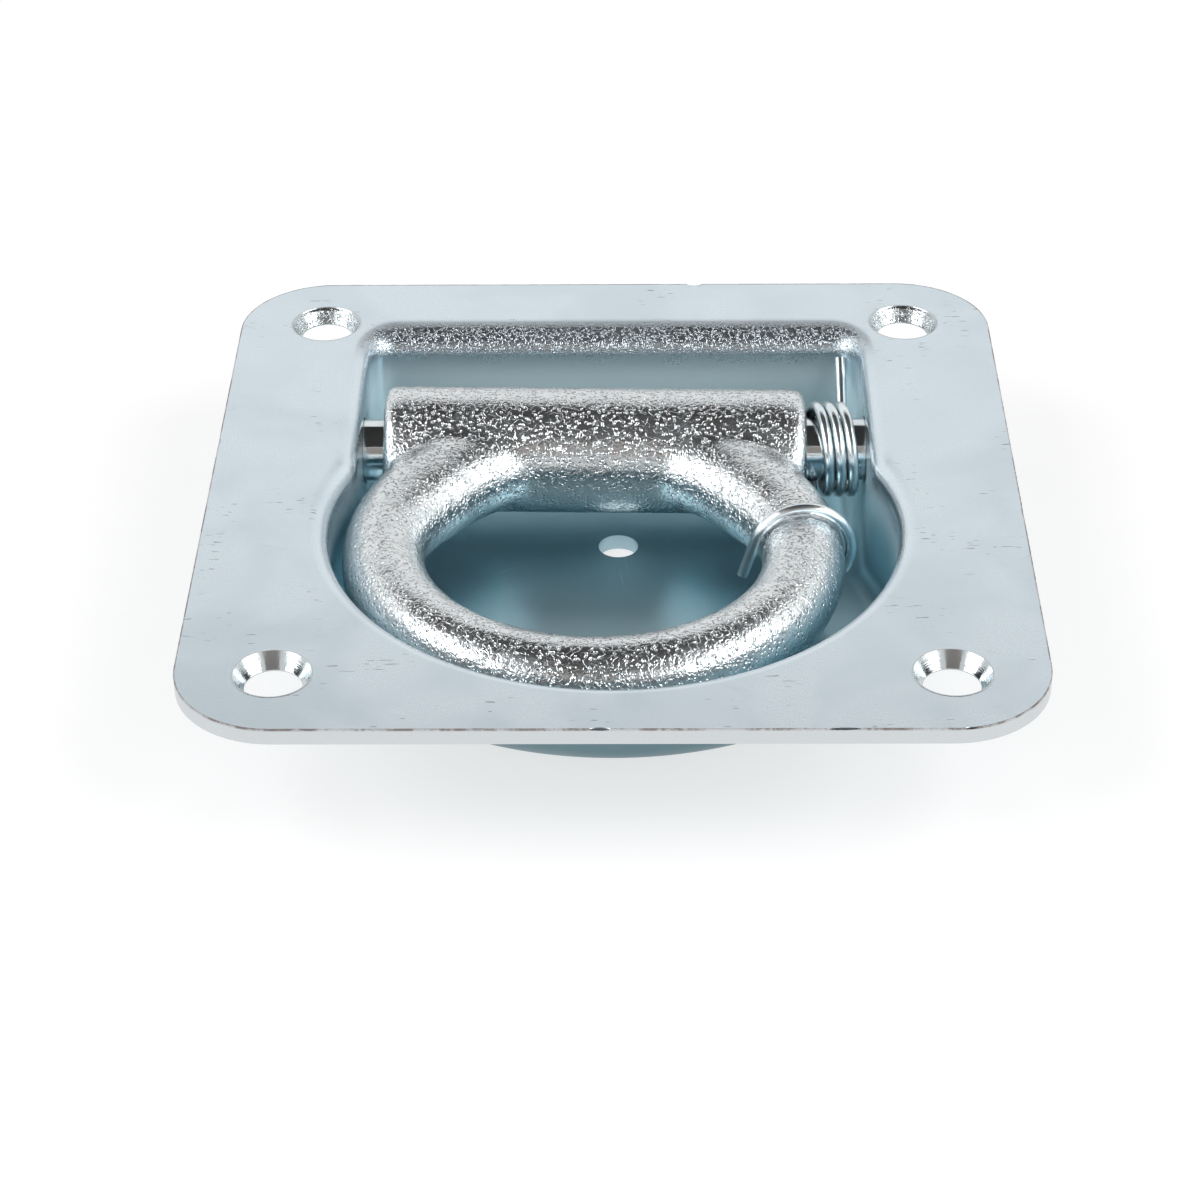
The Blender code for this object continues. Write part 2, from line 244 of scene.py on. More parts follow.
pan = start_point("base_pressing", (0, BOWL_Y - BOWL_RADIUS, TOP))
spin_point(bowl, 90 + meet, 72)
spin_point(blend, -meet, 8)
run_to(pan, WALL_X, corner.y, 10)
spin_point(corner, 90, 10)
run_to(pan, 0, BAY_REAR, 20)
bpy.ops.mesh.select_all(action="SELECT")
bpy.ops.mesh.duplicate()
mesh = bmesh.from_edit_mesh(pan.data)
for point in mesh.verts:
    if point.select:
        point.co.x = -point.co.x
bpy.ops.mesh.select_all(action="SELECT")
bpy.ops.mesh.remove_doubles(threshold=0.01 * MM)
print("the wall line has", len(bmesh.from_edit_mesh(pan.data).verts), "points")

# %% [markdown]
# ## The section of the wall
# The sheet rolls over a rim, falls as a wall and bends into the floor. The rim is rounder and wider
# at the rear, and the front wall slopes back under the ring, so the bends have no one radius.
# The loop is extruded once for each step of the section, and each new loop is set out along
# the line's normals.

# %% Extrude the wall down
RIM_STEPS = 12
WALL_STEPS = 6
FLOOR_STEPS = 12
RIM_MM, RIM_REAR_MM = 2.8, 1.4
RIM_WIDER = 1.2 * MM
FOOT_MM, FOOT_FRONT_MM = 3.2, 10.8


def outward(place):
    """The direction out of the pan, square to the wall line, at a point on it."""
    side = 1 if place.x >= 0 else -1
    x = abs(place.x)
    if place.y <= blend.y and math.atan2(place.y - BOWL_Y, x) <= math.radians(meet) + 1e-4:
        normal = Vector((x, place.y - BOWL_Y))
    elif place.y < blend.y:
        normal = blend - Vector((x, place.y))
    elif place.y <= corner.y or x > corner.x:
        normal = Vector((1, 0)) if place.y <= corner.y else Vector((x, place.y)) - corner
    else:
        normal = Vector((0, 1))
    normal.normalize()
    return Vector((normal.x * side, normal.y))


def wall_section(normal):
    """The section from the flange to the floor: distances outwards from the wall line, and heights."""
    to_rear = max(0, normal.y) ** 2
    to_front = max(0, -normal.y)
    rim = (RIM_MM + RIM_REAR_MM * to_rear) * MM
    rim_width = rim + RIM_WIDER * to_rear ** 2
    foot = (FOOT_MM + FOOT_FRONT_MM * to_front) * MM
    slope = math.atan(math.tan(FRONT_SLOPE) * to_front)
    section = []
    for step in range(RIM_STEPS + 1):
        turn = (math.pi / 2 - slope) * step / RIM_STEPS
        section.append((rim_width * (1 - math.sin(turn)), TOP - rim * (1 - math.cos(turn))))
    out, high = section[-1]
    fall = high - SHEET - foot * (1 - math.sin(slope))
    for step in range(1, WALL_STEPS + 1):
        share = step / WALL_STEPS
        section.append((out - fall * share * math.tan(slope), high - fall * share))
    middle = section[-1][0] - foot * math.cos(slope)
    for step in range(1, FLOOR_STEPS + 1):
        turn = slope + (math.pi / 2 - slope) * step / FLOOR_STEPS
        section.append((middle + foot * math.cos(turn), SHEET + foot * (1 - math.sin(turn))))
    return section


mesh = bmesh.from_edit_mesh(pan.data)
for axis, name in enumerate(("home_x", "home_y")):
    layer = mesh.verts.layers.float.new(name)
    for point in mesh.verts:
        point[layer] = point.co[axis]
levels = len(wall_section(Vector((0, 1))))
bpy.ops.mesh.select_all(action="SELECT")
for level in range(levels):
    if level:
        bpy.ops.mesh.extrude_region_move()
    mesh = bmesh.from_edit_mesh(pan.data)
    home_x = mesh.verts.layers.float["home_x"]
    home_y = mesh.verts.layers.float["home_y"]
    for point in mesh.verts:
        if point.select:
            home = Vector((point[home_x], point[home_y]))
            normal = outward(home)
            out, high = wall_section(normal)[level]
            point.co = (home.x + out * normal.x, home.y + out * normal.y, high)
bmesh.update_edit_mesh(pan.data)
bpy.ops.mesh.edge_face_add()
print("the wall has", levels, "loops")

# %% [markdown]
# ## The flange
# The flange is the same sheet, so it is drawn in the same mesh: a plane whose corners are rounded
# by a bevel of its points. Its face is taken away, and the space between its edge and the rim
# is filled.

# %% Fill the flange
PLATE_CORNER = 14.3 * MM


def open_at_top(edge):
    return len(edge.link_faces) < 2 and min(point.co.z for point in edge.verts) > TOP - 0.01 * MM


bpy.ops.mesh.select_all(action="DESELECT")
bpy.ops.mesh.primitive_plane_add(size=1, location=(0, 0, TOP))
mesh = bmesh.from_edit_mesh(pan.data)
for point in mesh.verts:
    if point.select:
        x, y = math.copysign(plate_high.x, point.co.x), math.copysign(plate_high.y, point.co.y)
        point.co = (x, y, TOP)
bpy.ops.mesh.bevel(offset=PLATE_CORNER, segments=20, affect="VERTICES")
bpy.ops.mesh.delete(type="ONLY_FACE")
pick(pan, open_at_top, "edges")
bpy.ops.mesh.fill(use_beauty=True)
bpy.ops.mesh.select_all(action="SELECT")
bpy.ops.mesh.normals_make_consistent(inside=False)
mesh = bmesh.from_edit_mesh(pan.data)
mesh.normal_update()
if max(mesh.faces, key=lambda face: face.calc_area()).normal.z < 0:
    bpy.ops.mesh.flip_normals()
bpy.ops.object.mode_set(mode="OBJECT")
apply_modifier(pan, "SOLIDIFY", "sheet", thickness=SHEET, offset=-1, use_even_offset=True)
report(pan)

# %% [markdown]
# ## Holes
# The four screw holes have a seat for a countersunk head, which goes nearly through the sheet.
# Each is cut by a turned punch: a cylinder whose upper end is widened in edit mode.
# The two holes for the pin and the drain hole are plain.

# %% Cut the holes
HOLE_SIDES = 64
SCREW_X = plate_high.x - 13.6 * MM
SCREW_Y = plate_high.y - 12.8 * MM
SCREW_HOLE = 4.0 * MM
SEAT_WIDENS_MM, SEAT_DEEP_MM = 1.4, 2.3
DRAIN_HOLE = 3.1 * MM
DRAIN_PLACE = (0.6 * MM, PIN.y - 7.7 * MM, SHEET / 2)


def plain_punch(name, radius, length, place, along=(0, 0, 0)):
    deselect()
    bpy.ops.mesh.primitive_cylinder_add(
        vertices=HOLE_SIDES, radius=radius, depth=length, location=place, rotation=along
    )
    return start_piece(name)


def screw_punch(x, y):
    """A straight shank with a cone on top of it, which is 10.8 mm wide at the plate's top."""
    shank = SCREW_HOLE
    seat = SEAT_DEEP_MM * MM
    opening = SEAT_WIDENS_MM / SEAT_DEEP_MM
    bottom = TOP - 2 * SHEET
    punch = plain_punch("screw_punch", shank, TOP - seat - bottom, (x, y, (TOP - seat + bottom) / 2))
    edit(punch)
    pick(punch, lambda face: face.normal.z > 0.9, "faces")
    rise = seat + SHEET
    bpy.ops.mesh.extrude_region_move(TRANSFORM_OT_translate={"value": (0, 0, rise)})
    mesh = bmesh.from_edit_mesh(punch.data)
    for point in mesh.verts:
        if point.select:
            point.co.x = x + (point.co.x - x) * (shank + rise * opening) / shank
            point.co.y = y + (point.co.y - y) * (shank + rise * opening) / shank
    bpy.ops.object.mode_set(mode="OBJECT")
    return punch


for side_x in (-1, 1):
    for side_y in (-1, 1):
        combine(pan, screw_punch(side_x * SCREW_X, side_y * SCREW_Y), "DIFFERENCE")
across_x = (0, math.pi / 2, 0)
for side in (-1, 1):
    place = (side * (WALL_X + SHEET / 2), PIN.y, PIN.z)
    combine(pan, plain_punch("pin_punch", PIN_HOLE, 3 * SHEET, place, across_x), "DIFFERENCE")
combine(pan, plain_punch("drain_punch", DRAIN_HOLE, 3 * SHEET, DRAIN_PLACE), "DIFFERENCE")
report(pan)

# %% [markdown]
# ## Sheared edges
# A press shears the sheet, so its edges aren't knife sharp: they roll over a little and catch
# the light. A bevel on every edge that turns more than 40 degrees does that to the outline and to
# all the holes at once. A few knocks from handling are small hollows cut out of the upper edge.
# Each is given by its place across and along the plate, its length and its depth, in millimetres.

# %% Round the sheared edges and knock them
EDGE_ROLL = 0.22 * MM
KNOCKS = (
    (-1.6, -61.0, 1.5, 0.30),
    (13.0, 61.0, 1.2, 0.28),
    (31.0, -61.0, 2.4, 0.22),
    (-60.1, 12.0, 1.2, 0.22),
    (48.0, -60.9, 1.1, 0.24),
    (60.1, -8.0, 1.6, 0.2),
)
for x, y, length, depth in KNOCKS:
    deselect()
    bpy.ops.mesh.primitive_ico_sphere_add(subdivisions=4, radius=1, location=(x * MM, y * MM, TOP))
    knock = bpy.context.object
    sideways = abs(x) > 59
    knock.scale = Vector((2 * depth, length, depth) if sideways else (length, 2 * depth, depth)) * MM
    combine(pan, start_piece("knock"), "DIFFERENCE")
apply_modifier(
    pan, "BEVEL", "roll", width=EDGE_ROLL, segments=3, limit_method="ANGLE",
    angle_limit=math.radians(40), use_clamp_overlap=True, harden_normals=False,
)
smooth(pan, 30)
apply_modifier(pan, "WEIGHTED_NORMAL", "flat_faces", keep_sharp=True)
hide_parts("base_plate")
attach(pan, "base")
report(pan)

# %% [markdown]
# ## The ring: eye and barrel
# The ring is one forging. Its eye starts as a torus, whose bar swells a little towards the barrel,
# and the barrel as a cylinder. They are joined, and a voxel remesh with some smoothing gives the seams
# between them the soft radii of the forging die. Smoothing thins the bars, so they are fattened back.

# %% Form the forging
EYE = Vector((-3.0 * MM, PIN.y - 29.9 * MM, PIN.z))
EYE_RADIUS = 31.25 * MM
BAR = 6.15 * MM
BARREL = 9.7 * MM
BARREL_LENGTH = 65.3 * MM
ROOT_SWELL = 1.3 * MM
ROOT_ANGLE = math.radians(36)
GRAIN = 0.9 * MM
SMOOTHING_LOSS = 0.09 * MM

deselect()
bpy.ops.mesh.primitive_torus_add(
    location=EYE, major_radius=EYE_RADIUS, minor_radius=BAR, major_segments=192, minor_segments=64
)
ring = start_piece("forged_ring")
mesh = edit(ring)
for point in mesh.verts:
    place = point.co - EYE
    round_eye = place.to_2d().normalized()
    from_side = math.asin(max(0, round_eye.y))
    share = min(1, from_side / ROOT_ANGLE)
    swell = ROOT_SWELL * share * share * (3 - 2 * share)
    across = (place.to_2d().length - EYE_RADIUS) / BAR
    out = EYE_RADIUS - swell + (BAR + swell) * across
    point.co = EYE + Vector((out * round_eye.x, out * round_eye.y, (BAR + swell / 2) * place.z / BAR))
bpy.ops.object.mode_set(mode="OBJECT")
barrel = plain_punch("barrel", BARREL, BARREL_LENGTH, (EYE.x, PIN.y, PIN.z), across_x)
combine(ring, barrel, "UNION")
apply_modifier(ring, "REMESH", "grain", mode="VOXEL", voxel_size=GRAIN, use_smooth_shade=True)
apply_modifier(ring, "SMOOTH", "die_radii", factor=0.5, iterations=12)
edit(ring)
bpy.ops.mesh.select_all(action="SELECT")
bpy.ops.transform.shrink_fatten(value=SMOOTHING_LOSS)
bpy.ops.object.mode_set(mode="OBJECT")
report(ring)

# %% [markdown]
# ## The forging's skin
# Hammer scale and grit blasting leave shallow dents a few millimetres wide under the fine pebbling.
# The dents are real hollows in the mesh. The pebbling, which is finer than the mesh, is in
# the material. The forging isn't quite true to its bore, and its spring side hangs lower,
# so it is leaned before the bore is drilled.

# %% Dent the skin and drill the bore
LEAN = math.radians(-0.75)
PIVOT = Vector((EYE.x - 8 * MM, PIN.y, PIN.z))
DENT_SIZE, DENT_DEPTH = 2.6 * MM, 0.14 * MM
apply_modifier(ring, "SUBSURF", "fine", levels=1)
dents = bpy.data.textures.new("dents", "CLOUDS")
dents.noise_scale = DENT_SIZE
dents.noise_depth = 2
apply_modifier(
    ring, "DISPLACE", "dents", texture=dents, texture_coords="LOCAL",
    strength=DENT_DEPTH, mid_level=0.45,
)
edit(ring)
bpy.ops.mesh.select_all(action="SELECT")
bpy.ops.transform.rotate(value=LEAN, orient_axis="Y", center_override=PIVOT)
bpy.ops.object.mode_set(mode="OBJECT")
bore = plain_punch("bore", PIN_HOLE, 2 * BARREL_LENGTH, PIN, across_x)
combine(ring, bore, "DIFFERENCE")
smooth(ring, 40)
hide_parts("lashing_ring")
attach(ring, "ring")
report(ring)

# %% [markdown]
# ## The cross pin
# A round bar goes through both walls, and its ends are upset into low heads outside them.
# Each head is drawn out of the bar's end face, one ring of points after another.

# %% Turn the pin
PIN_RADIUS = 4.9 * MM
HEAD_RADIUS = 5.9 * MM
HEAD = 2.0 * MM
CROWN = HEAD / 2
CROWN_STEPS = 8
shank_end = WALL_X + SHEET + GAP
profile = [(HEAD_RADIUS, shank_end), (HEAD_RADIUS, shank_end + HEAD - CROWN)]
for step in range(1, CROWN_STEPS + 1):
    turn = math.pi / 2 * step / CROWN_STEPS
    drawn_in = 2 * CROWN * (1 - math.cos(turn))
    profile.append((HEAD_RADIUS - drawn_in, shank_end + HEAD - CROWN * (1 - math.sin(turn))))

deselect()
bpy.ops.mesh.primitive_cylinder_add(
    vertices=96, radius=PIN_RADIUS, depth=2 * shank_end, location=PIN, rotation=across_x
)
pin = start_piece("cross_pin")
edit(pin)
for side in (-1, 1):
    pick(pin, lambda face: face.normal.x * side > 0.9 and face.calc_center_median().x * side > 0, "faces")
    for radius, along in profile:
        bpy.ops.mesh.extrude_region_move()
        mesh = bmesh.from_edit_mesh(pin.data)
        for point in mesh.verts:
            if point.select:
                spoke = Vector((0, point.co.y - PIN.y, point.co.z - PIN.z)).normalized()
                point.co = PIN + Vector((side * along, 0, 0)) + radius * spoke
bpy.ops.object.mode_set(mode="OBJECT")
smooth(pin, 40)
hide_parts("hinge_pin")
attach(pin, "base")
report(pin)

# %% [markdown]
# ## The torsion spring
# One wire makes the whole spring: a rear leg that leans on the pan, three wraps round the pin,
# and a front leg that goes under the ring's bar and hooks over it from outside.
# It is made as three lengths, because the front leg turns with the ring, the rear leg stays with
# the pan, and the coil winds up between them.

# %% Wire along a path
WIRE = 0.85 * MM
COIL_PLAY, OFF_BARREL = 0.9 * MM, 1.4 * MM
COIL = PIN_RADIUS + COIL_PLAY + WIRE
PITCH = 1.86 * MM
SLANT = 1.7 * MM
WRAPS = 3 + 35 / 360
COIL_START = EYE.x + BARREL_LENGTH / 2 + OFF_BARREL + WIRE
COIL_STEPS = 180


def wire(name, points, body=None):
    """A round wire through the points, as a mesh with closed ends."""
    curve = bpy.data.curves.new(name, "CURVE")
    curve.dimensions = "3D"
    curve.bevel_depth = WIRE
    curve.bevel_resolution = 6
    curve.use_fill_caps = True
    line = curve.splines.new("POLY")
    line.points.add(len(points) - 1)
    for knot, point in zip(line.points, points):
        knot.co = (*point, 1)
    piece = bpy.data.objects.new(name, curve)
    bpy.context.collection.objects.link(piece)
    make_active(piece)
    bpy.ops.object.convert(target="MESH")
    piece = bpy.context.object
    edit(piece)
    bpy.ops.mesh.select_all(action="SELECT")
    bpy.ops.mesh.remove_doubles(threshold=0.001 * MM)
    smooth(piece, 50)
    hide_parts("torsion_spring")
    if body:
        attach(piece, body)
    report(piece)
    return piece


def coil_point(turns):
    """The coil starts under the pin and climbs its rear side first. Its wraps lean a little."""
    turn = 2 * math.pi * turns
    along = COIL_START + PITCH * turns - SLANT * (1 + math.sin(turn)) / 2
    return Vector((along, PIN.y + COIL * math.sin(turn), PIN.z - COIL * math.cos(turn)))


def cubic(start, pull, end_pull, end, steps):
    for step in range(1, steps + 1):
        t = step / steps
        u = 1 - t
        yield u ** 3 * start + 3 * u * u * t * pull + 3 * u * t * t * end_pull + t ** 3 * end


wraps = [coil_point(WRAPS * step / COIL_STEPS) for step in range(COIL_STEPS + 1)]
coil = wire("spring_coil", wraps)
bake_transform(coil, "ring", "base", start=wraps[0], end=wraps[-1])

# %% Bend the two legs
HOOK = BAR + GAP + WIRE
HOOK_SIDE = 2.3 * MM
HOOK_BEND = 3.0 * MM
HOOK_TAIL = 6.2 * MM
HOOK_FROM, HOOK_TURN, HOOK_STEPS = -25, 190, 40
out = Vector((math.sqrt(EYE_RADIUS ** 2 - HOOK_SIDE ** 2), HOOK_SIDE, 0)) / EYE_RADIUS
up = Vector((0, 0, 1))
drop = (EYE.x + EYE_RADIUS * out.x - PIVOT.x) * math.tan(LEAN) * up
held = EYE + EYE_RADIUS * out + drop
over = []
for step in range(HOOK_STEPS + 1):
    turn = math.radians(HOOK_FROM + HOOK_TURN * step / HOOK_STEPS)
    over.append(held + HOOK * (math.cos(turn) * out + math.sin(turn) * up))
rising = (over[1] - over[0]).normalized()
falling = (over[-1] - over[-2]).normalized()
bend = Vector((wraps[0].x, over[0].y + HOOK_BEND, PIN.z - HOOK)) + drop
forwards = Vector((0, -HOOK_BEND, 0))
front = [wraps[0]] + [wraps[0].lerp(bend, step / 8) for step in range(1, 9)]
front += list(cubic(bend, bend + forwards, over[0] - HOOK_BEND * rising, over[0], 14))
front += over[1:] + [over[-1] + HOOK_TAIL * falling * step / 4 for step in range(1, 5)]
front_leg = wire("spring_front_leg", front, "ring")

TOUCHES_ASIDE, LEANS_ASIDE = 0.65 * MM, -0.2 * MM
rear_slope = math.radians(35)
into_corner = max(0, wraps[-1].x + TOUCHES_ASIDE - (WALL_X - BAY_CORNER))
wall_at = BAY_REAR - BAY_CORNER + math.sqrt(BAY_CORNER ** 2 - into_corner ** 2)
run = wall_at - GAP - WIRE * math.sin(rear_slope) - wraps[-1].y
rear_end = wraps[-1] + Vector((LEANS_ASIDE, run, run * math.tan(rear_slope)))
rear_leg = wire("spring_rear_leg", [wraps[-1].lerp(rear_end, step / 6) for step in range(7)], "base")

# %% [markdown]
# ## Finishes: how the materials are put together
# All four pieces are steel with bright zinc and a light blue passivation, so they share their effects: a
# clouded coat, a pebbled skin, fine scratches and a painted shade in blue, deep in the pan and under the
# bars.
# Each effect is a node group with named inputs. The helpers below place nodes and join them.

# %% Helpers for nodes
def feed(tree, item, inputs):
    """Joins a node's inputs, by name or number, to other nodes' outputs, or gives them plain values."""
    for key, value in inputs.items():
        if isinstance(value, bpy.types.NodeSocket):
            tree.links.new(value, item.inputs[key])
        else:
            item.inputs[key].default_value = value
    return item


def node(tree, kind, inputs=None, **settings):
    """Adds a node and sets its options and its inputs."""
    item = tree.nodes.new(kind)
    for key, value in settings.items():
        setattr(item, key, value)
    return feed(tree, item, inputs or {})


def start_group(name, sockets_in, sockets_out):
    """A new shader node group. Each socket has its name and kind, and an input its value too."""
    tree = bpy.data.node_groups.new(name, "ShaderNodeTree")
    for label, kind, value in sockets_in:
        socket = tree.interface.new_socket(label, in_out="INPUT", socket_type="NodeSocket" + kind)
        socket.default_value = value
    for label, kind in sockets_out:
        tree.interface.new_socket(label, in_out="OUTPUT", socket_type="NodeSocket" + kind)
    return tree, node(tree, "NodeGroupInput"), node(tree, "NodeGroupOutput")


def place_group(tree, group, inputs):
    item = tree.nodes.new("ShaderNodeGroup")
    item.node_tree = group
    return feed(tree, item, inputs)


def one_or_two(a, b):
    """The inputs of a node that takes one value or two."""
    return {0: a} if b is None else {0: a, 1: b}


def math_node(tree, operation, a, b=None, clamp=False):
    return node(
        tree, "ShaderNodeMath", one_or_two(a, b), operation=operation, use_clamp=clamp
    ).outputs[0]


def times(tree, a, b):
    """The product of two values. The sum and the difference below are named in the same way."""
    return math_node(tree, "MULTIPLY", a, b)


def plus(tree, a, b):
    return math_node(tree, "ADD", a, b)


def minus(tree, a, b):
    return math_node(tree, "SUBTRACT", a, b)


def blend_colours(tree, share, a, b, mode="MIX"):
    item = node(tree, "ShaderNodeMix", {0: share, 6: a, 7: b}, data_type="RGBA", blend_type=mode)
    return item.outputs[2]


def ramp(tree, value, low, high, to_low=0.0, to_high=1.0, smooth_step=True):
    """Maps a value between two limits, flat outside them."""
    item = node(
        tree, "ShaderNodeMapRange", {0: value, 1: low, 2: high, 3: to_low, 4: to_high},
        interpolation_type="SMOOTHSTEP" if smooth_step else "LINEAR",
    )
    return item.outputs[0]


def object_place(tree):
    """The place of a point on its own piece, from which every pattern here is made."""
    return node(tree, "ShaderNodeTexCoord").outputs["Object"]


def part_of(tree, vector, axis):
    """The X, Y or Z of a vector."""
    return node(tree, "ShaderNodeSeparateXYZ", {0: vector}).outputs[axis]


def vector_node(tree, operation, a, b=None, output=0):
    return node(tree, "ShaderNodeVectorMath", one_or_two(a, b), operation=operation).outputs[output]


def noise(tree, vector, scale, detail=2.0, roughness=0.5, distortion=0.0):
    item = node(tree, "ShaderNodeTexNoise", {
        "Vector": vector, "Scale": scale, "Detail": detail,
        "Roughness": roughness, "Distortion": distortion,
    })
    return item.outputs["Fac"]


# %% [markdown]
# ## The zinc coat
# Bright zinc isn't one even grey. The passivation clouds it a little with blue over a few millimetres,
# and the zinc's own crystals make it sparkle at a tenth of a millimetre. Both also change how sharply
# it reflects.

# %% Zinc coat
coat, coat_in, coat_out = start_group(
    "zinc_coat",
    (("Bright", "Color", (0.8, 0.83, 0.85, 1)), ("Blue", "Color", (0.6, 0.72, 0.8, 1)),
     ("Cloud Scale", "Float", 150.0), ("Roughness", "Float", 0.3), ("Roughness Change", "Float", 0.1)),
    (("Color", "Color"), ("Roughness", "Float")),
)
place = object_place(coat)
cloud = noise(coat, place, coat_in.outputs["Cloud Scale"], 3.0, 0.55, 0.4)
cloud = ramp(coat, cloud, 0.35, 0.7)
crystal = noise(coat, place, 4200.0, 1.0, 0.5)
colour = blend_colours(coat, cloud, coat_in.outputs["Bright"], coat_in.outputs["Blue"])
sparkle = ramp(coat, crystal, 0.3, 0.7, 0.97, 1.02)
colour = blend_colours(coat, 1.0, colour, sparkle, "MULTIPLY")
most_change = coat_in.outputs["Roughness Change"]
crystal_change = times(coat, minus(coat, crystal, 0.5), most_change)
cloud_change = times(coat, minus(coat, cloud, 0.5), most_change)
change = plus(coat, crystal_change, cloud_change)
rough = math_node(coat, "ADD", coat_in.outputs["Roughness"], change, clamp=True)
coat.links.new(colour, coat_out.inputs["Color"])
coat.links.new(rough, coat_out.inputs["Roughness"])
print("zinc_coat has", len(coat.nodes), "nodes")

# %% [markdown]
# ## Painted shade in the depth
# Points low on a piece get painted shade, in the passivation's blue: down in the pan and under the bars. The
# shade follows the height of a point on the object, so it stays with the piece from every side.

# %% Painted depth shade
depth, shade_in, shade_out = start_group(
    "painted_depth_shade",
    (("Color", "Color", (0.8, 0.8, 0.8, 1)), ("Shade", "Color", (0.2, 0.4, 0.5, 1)),
     ("Top", "Float", 0.02), ("Bottom", "Float", 0.004)),
    (("Color", "Color"), ("Share", "Float")),
)
height = part_of(depth, object_place(depth), "Z")
share = ramp(depth, height, shade_in.outputs["Bottom"], shade_in.outputs["Top"], 1.0, 0.0)
tinted = blend_colours(depth, share, shade_in.outputs["Color"], shade_in.outputs["Shade"])
depth.links.new(tinted, shade_out.inputs["Color"])
depth.links.new(share, shade_out.inputs["Share"])
print("painted_depth_shade has", len(depth.nodes), "nodes")

# %% [markdown]
# ## Pebbled skin
# Scale that was beaten and blasted off a forging leaves pits of a few tenths of a millimetre and short
# winding furrows in a skin that is smooth between them. The pits are the middles of warped cells,
# the furrows follow one level of a noise, and a softer noise makes the skin itself uneven.

# %% Pebbles
pebbles, pebbles_in, pebbles_out = start_group(
    "pebbles",
    (("Scale", "Float", 1300.0), ("Furrows", "Float", 0.5), ("Unevenness", "Float", 0.5)),
    (("Height", "Float"),),
)
WARP = 0.0008
place = object_place(pebbles)
warp = node(pebbles, "ShaderNodeTexNoise", {"Vector": place, "Scale": 800.0, "Detail": 1.0})
shift = vector_node(pebbles, "SUBTRACT", warp.outputs["Color"], (0.5, 0.5, 0.5))
shift = node(pebbles, "ShaderNodeVectorMath", {0: shift, "Scale": WARP}, operation="SCALE").outputs[0]
warped = vector_node(pebbles, "ADD", place, shift)
scale = pebbles_in.outputs["Scale"]
cells = node(pebbles, "ShaderNodeTexVoronoi", {"Vector": warped, "Scale": scale}, feature="F1")
cells = cells.outputs["Distance"]
pits = ramp(pebbles, cells, 0.12, 0.42)
wander = noise(pebbles, warped, times(pebbles, scale, 0.55), 1.0, 0.5)
furrows = ramp(pebbles, math_node(pebbles, "ABSOLUTE", minus(pebbles, wander, 0.5)), 0.0, 0.05)
furrows = times(pebbles, furrows, pebbles_in.outputs["Furrows"])
uneven = noise(pebbles, place, times(pebbles, scale, 1.1), 2.0, 0.55)
uneven = times(pebbles, uneven, pebbles_in.outputs["Unevenness"])
height = plus(pebbles, plus(pebbles, pits, furrows), uneven)
pebbles.links.new(height, pebbles_out.inputs["Height"])
print("pebbles has", len(pebbles.nodes), "nodes")

# %% [markdown]
# ## Scratches
# Handling leaves fine straight scratches in a few directions. Each set is a noise that is stretched
# eighty times along one direction and cut to its peaks, and a coarse noise breaks it into
# short marks.

# %% Scratches
scratches, scratches_in, scratches_out = start_group(
    "scratches",
    (("Direction", "Float", 0.4), ("Amount", "Float", 0.5)),
    (("Mask", "Float"),),
)
place = object_place(scratches)
masks = []
for offset, seed_x in ((0.0, 0.0), (1.1, 0.3), (2.3, 0.7)):
    turned = plus(scratches, scratches_in.outputs["Direction"], offset)
    turned = node(scratches, "ShaderNodeCombineXYZ", {"Z": turned}).outputs[0]
    line = node(scratches, "ShaderNodeMapping", {
        "Vector": place, "Location": (seed_x, 0, 0), "Rotation": turned,
    }).outputs[0]
    line = node(scratches, "ShaderNodeMapping", {"Vector": line, "Scale": (40, 3200, 40)}).outputs[0]
    peaks = ramp(scratches, noise(scratches, line, 1.0, 1.0, 0.4), 0.72, 0.8)
    marks = ramp(scratches, noise(scratches, place, 90.0 + 40 * seed_x, 2.0), 0.5, 0.65)
    masks.append(times(scratches, peaks, marks))
total = plus(scratches, plus(scratches, masks[0], masks[1]), masks[2])
total = math_node(scratches, "MULTIPLY", total, scratches_in.outputs["Amount"], clamp=True)
scratches.links.new(total, scratches_out.inputs["Mask"])
print("scratches has", len(scratches.nodes), "nodes")

# %% [markdown]
# ## Four finishes
# Every finish starts as a bare metal: its colour comes from the groups, and its gloss from the shader.
# The sheet is satin, the forging pebbled, and the pin and the wire are smooth. Only the walls inside
# the pan are less of a metal, because the passivation dried in a thicker layer there.

# %% Start a finish
def start_finish(name):
    finish = bpy.data.materials.new(name)
    finish.use_nodes = True
    shader = finish.node_tree.nodes["Principled BSDF"]
    shader.inputs["Metallic"].default_value = 1.0
    return finish, finish.node_tree, shader


def bump(tree, shader, height, distance, strength=1.0):
    item = node(tree, "ShaderNodeBump", {"Strength": strength, "Distance": distance, "Height": height})
    tree.links.new(item.outputs["Normal"], shader.inputs["Normal"])
    return item


def dress(piece, finish):
    piece.data.materials.clear()
    piece.data.materials.append(finish)
